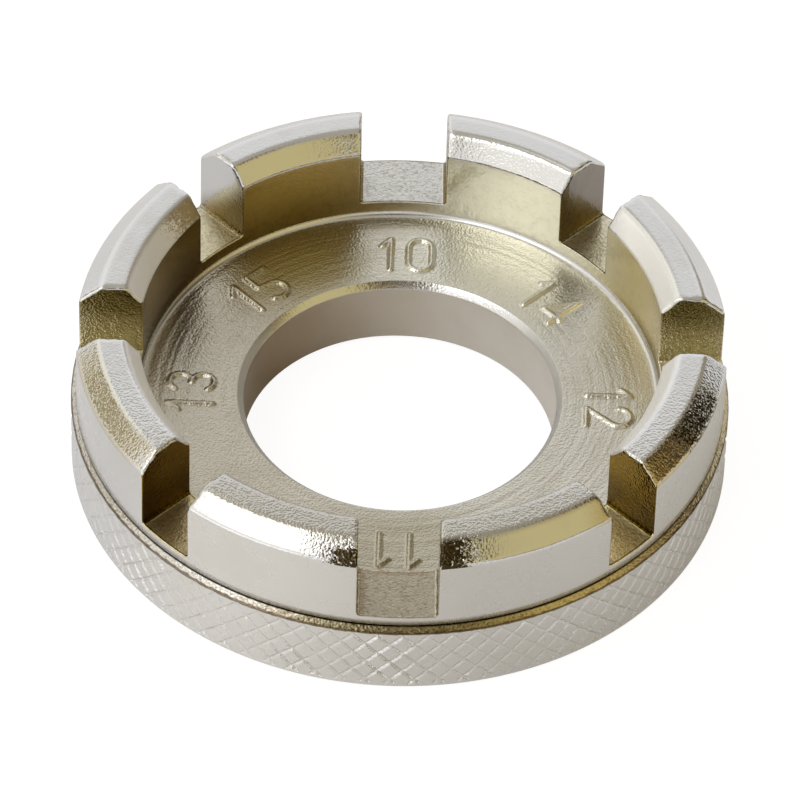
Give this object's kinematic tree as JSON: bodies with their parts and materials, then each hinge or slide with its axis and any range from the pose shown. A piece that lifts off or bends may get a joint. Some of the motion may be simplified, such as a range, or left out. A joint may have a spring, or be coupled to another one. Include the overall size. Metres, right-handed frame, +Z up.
{
  "type": "spoke wrench",
  "caption": "Round crown-shaped spoke wrench: a castellated crown whose graded slots grip spoke nipples, on a knurled grip ring with a central bore.",
  "frame": {"origin": "middle of the underside, on the axis of the bore", "axes": "+Z up along the axis, from the underside to the jaws; +Y towards slot 10, +X towards slot 12"},
  "size_m": [0.038, 0.038, 0.0105],
  "materials": {
    "plated_crown": "nickel-plated steel, satin, with turning marks and grainy formed jaw tops",
    "plated_ring": "nickel-plated steel, diamond knurling, satin"
  },
  "bodies": {
    "root": {"crown_body": "plated_crown", "knurled_ring": "plated_ring"}
  },
  "joints": []
}
